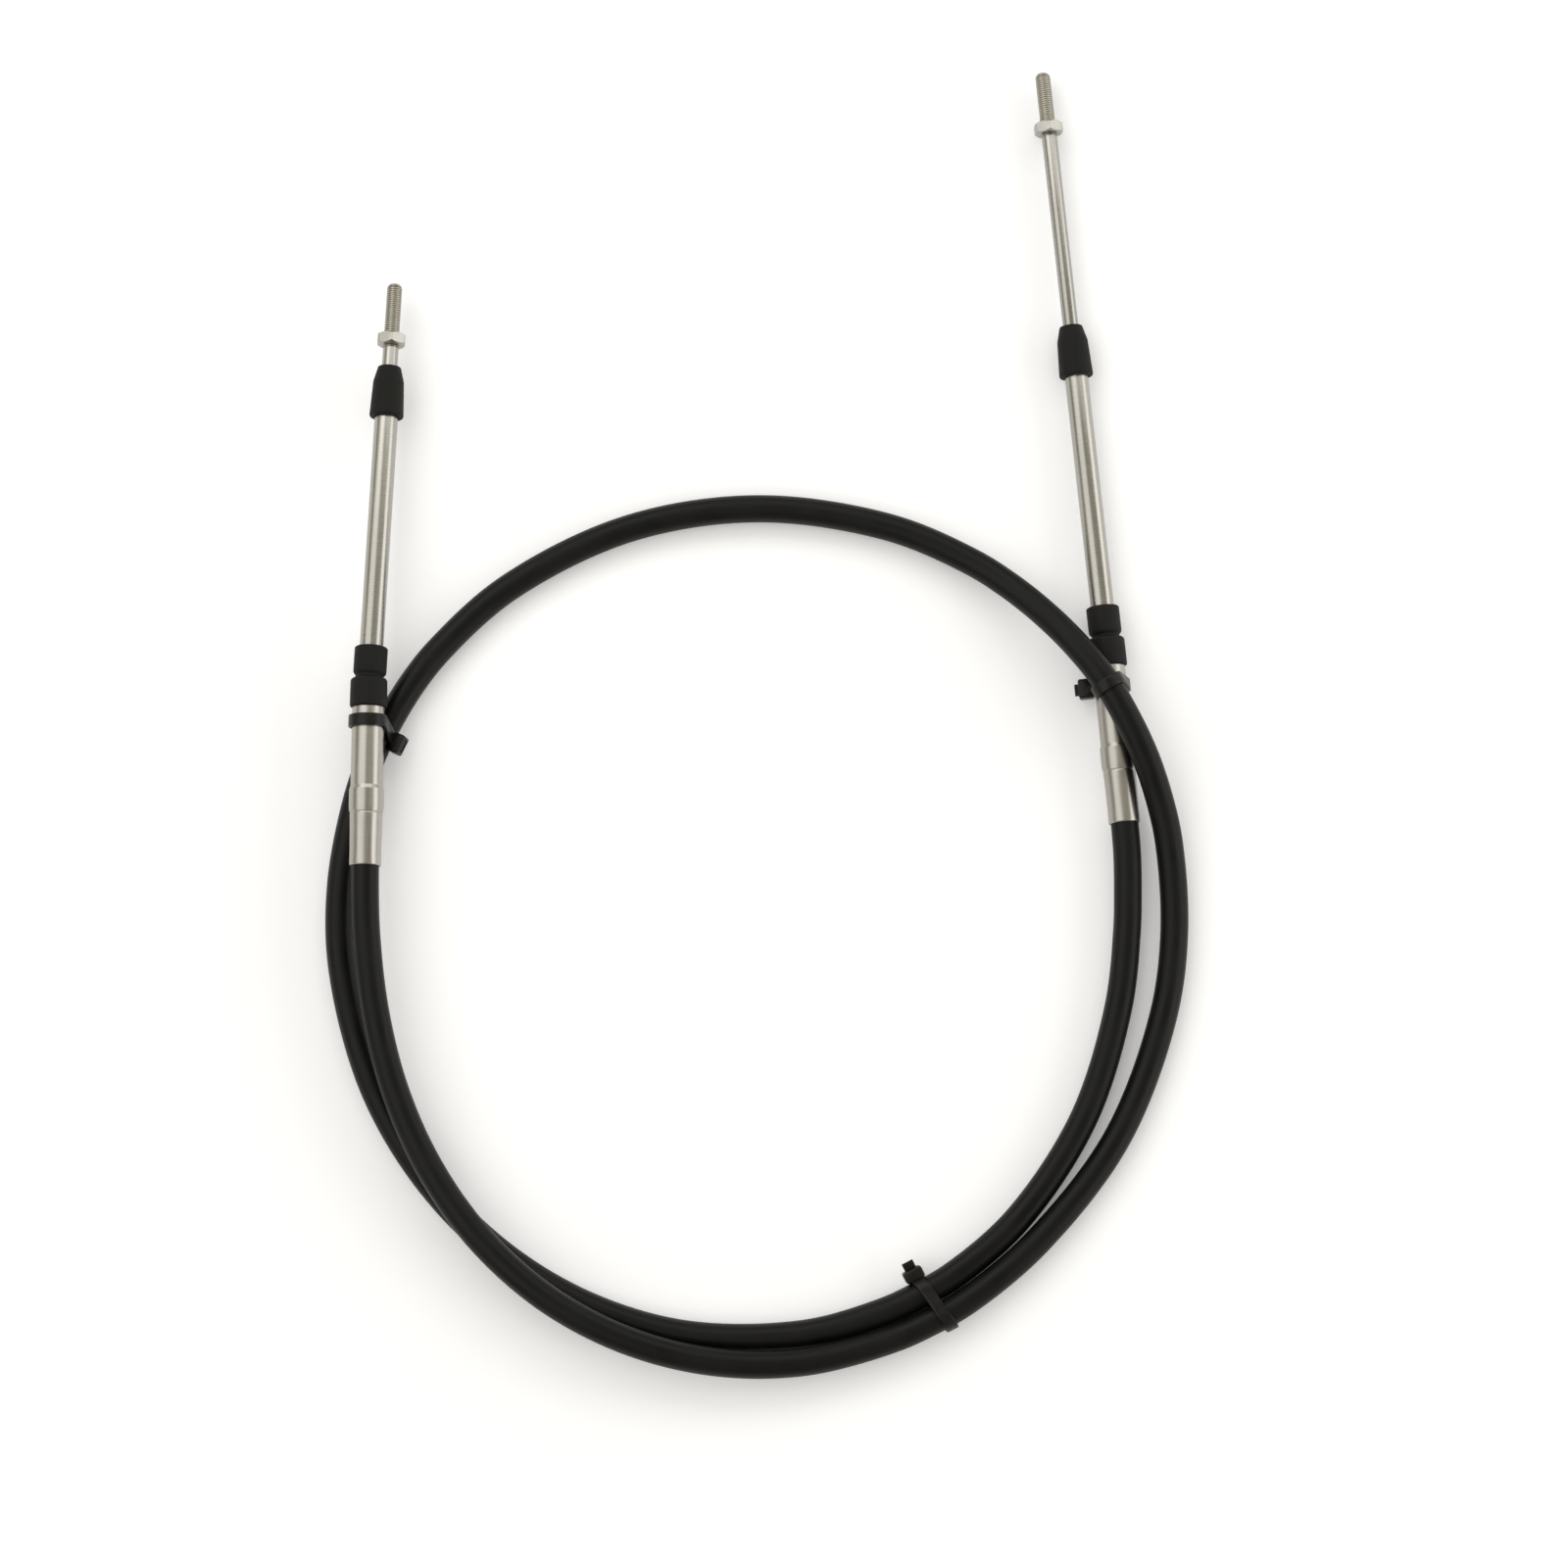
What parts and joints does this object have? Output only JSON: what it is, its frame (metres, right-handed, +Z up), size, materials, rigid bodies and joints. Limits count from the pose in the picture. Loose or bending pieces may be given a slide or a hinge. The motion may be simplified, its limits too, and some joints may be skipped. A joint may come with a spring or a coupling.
{
  "type": "boat steering cable",
  "caption": "Jacketed push-pull steering cable laid in a loop with nylon ties, with a hub, swivelling support tube, rubber seals and threaded sliding rod at each end.",
  "frame": {"origin": "on the floor, below the middle of the box round the end fittings and the ties; the cable's loop is left out of that box", "axes": "+X to the right in the picture, +Y towards the rod tips, +Z up from the floor that the cable lies on"},
  "size_m": [0.3453, 0.5355, 0.0279],
  "materials": {
    "jacket": "black extruded jacket, satin",
    "seal_rubber": "matte black moulded rubber",
    "tie_nylon": "black moulded nylon, satin",
    "stainless": "turned and polished stainless steel",
    "plated_steel": "bright plated steel"
  },
  "bodies": {
    "cable": {"conduit": "jacket", "left_hub": "stainless", "left_swivel_seal": "seal_rubber", "right_hub": "stainless", "right_swivel_seal": "seal_rubber", "tie_left": "tie_nylon", "tie_right": "tie_nylon", "tie_bottom": "tie_nylon"},
    "left_tube": {"left_support_tube": "stainless", "left_wiper_seal": "seal_rubber"},
    "left_rod_end": {"left_rod": "stainless", "left_jam_nut": "plated_steel"},
    "right_tube": {"right_support_tube": "stainless", "right_wiper_seal": "seal_rubber"},
    "right_rod_end": {"right_rod": "stainless", "right_jam_nut": "plated_steel"}
  },
  "joints": [
    {"name": "left_tube_swivel", "type": "hinge", "parent": "cable", "child": "left_tube", "pos_m": [-0.15125, -0.0006, 0.0197], "axis": [0, 0, 1], "range_deg": [-5.86, 10.14], "deforming": ["left_swivel_seal"]},
    {"name": "left_rod_slide", "type": "slide", "parent": "left_tube", "child": "left_rod_end", "axis": [0.043, 0.9977, -0.0523], "range_m": [-0.00155, 0.07465]},
    {"name": "right_tube_swivel", "type": "hinge", "parent": "cable", "child": "right_tube", "pos_m": [0.14564, 0.0183, 0.0082], "axis": [0, 0, 1], "range_deg": [-8.6, 7.4], "deforming": ["right_swivel_seal"]},
    {"name": "right_rod_slide", "type": "slide", "parent": "right_tube", "child": "right_rod_end", "axis": [-0.0976, 0.9952, -0.0052], "range_m": [-0.07465, 0.00155]}
  ],
  "couplings": [
    {"joint": "right_rod_slide", "follows": "left_rod_slide", "ratio": -1}
  ]
}
